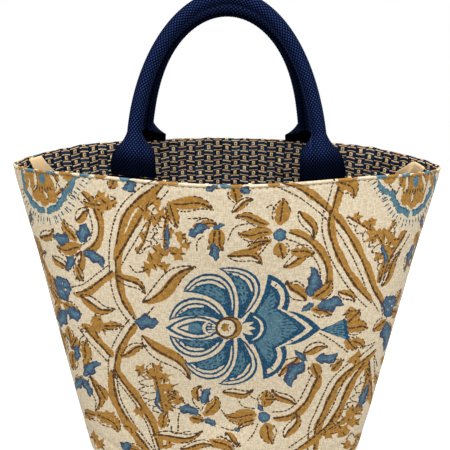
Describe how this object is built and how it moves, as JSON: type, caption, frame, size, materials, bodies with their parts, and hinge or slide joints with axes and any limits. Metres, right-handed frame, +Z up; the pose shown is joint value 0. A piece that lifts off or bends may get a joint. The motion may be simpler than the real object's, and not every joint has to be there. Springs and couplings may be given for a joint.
{
  "type": "tote bag",
  "caption": "Lined cloth tote bag with a tapered body, an open lens-shaped mouth and two webbing handles that roll from flat sewn ends into tubular grips.",
  "frame": {"origin": "on the floor, under the middle of the base", "axes": "+Z up, +X to the right as seen from the front, the front faces -Y"},
  "size_m": [0.3646, 0.1514, 0.4063],
  "materials": {
    "printed_cotton": "block-printed plain-weave cotton in ochre, brown and blue on cream",
    "lining_weave": "coarse navy and tan basket weave",
    "webbing": "dense navy cotton webbing",
    "binding_tape": "plain tan cotton tape"
  },
  "bodies": {
    "root": {"outer_front_panel": "printed_cotton", "outer_back_panel": "printed_cotton", "outer_base_panel": "printed_cotton", "lining_front_panel": "lining_weave", "lining_back_panel": "lining_weave", "lining_base_panel": "lining_weave", "front_handle": "webbing", "back_handle": "webbing", "left_seam_binding": "binding_tape", "right_seam_binding": "binding_tape"}
  },
  "joints": []
}
